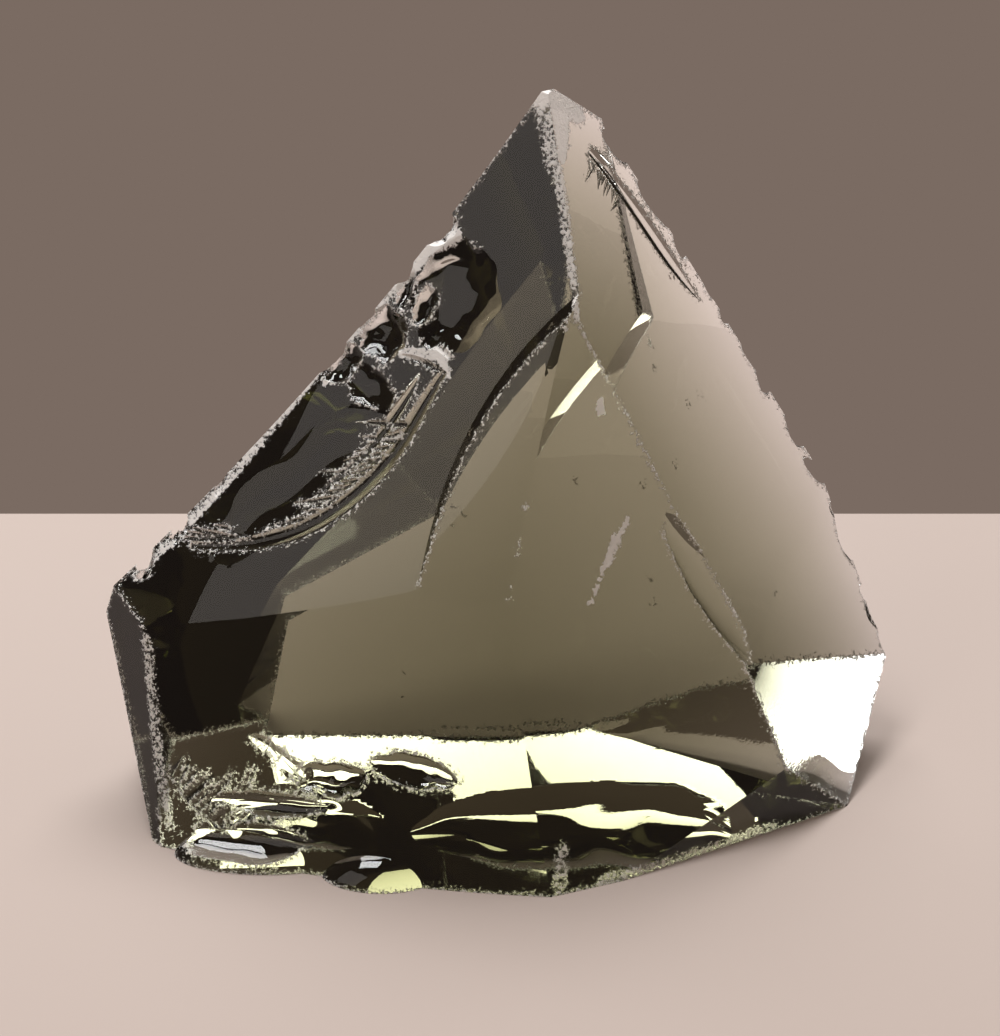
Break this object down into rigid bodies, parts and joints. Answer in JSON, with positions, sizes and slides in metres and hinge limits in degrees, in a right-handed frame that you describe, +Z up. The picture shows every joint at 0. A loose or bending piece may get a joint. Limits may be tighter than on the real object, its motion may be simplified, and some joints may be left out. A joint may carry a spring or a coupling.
{
  "type": "slag glass chunk",
  "caption": "Broken chunk of clear smoky grey-green glass with shell-like fracture faces, a leaning peak and a flat base to rest on.",
  "frame": {"origin": "middle of the base of the chunk's own box, on the surface it rests on", "axes": "+Z up, +X along the long side of the chunk to the right as seen from the front, +Y from the sharp front edge towards the steep back"},
  "size_m": [0.093, 0.052, 0.0802],
  "materials": {
    "smoky_glass": "clear smoky grey-green glass, fire-bright fracture faces, frosted chipped ridges"
  },
  "bodies": {
    "root": {"glass_chunk": "smoky_glass"}
  },
  "joints": []
}
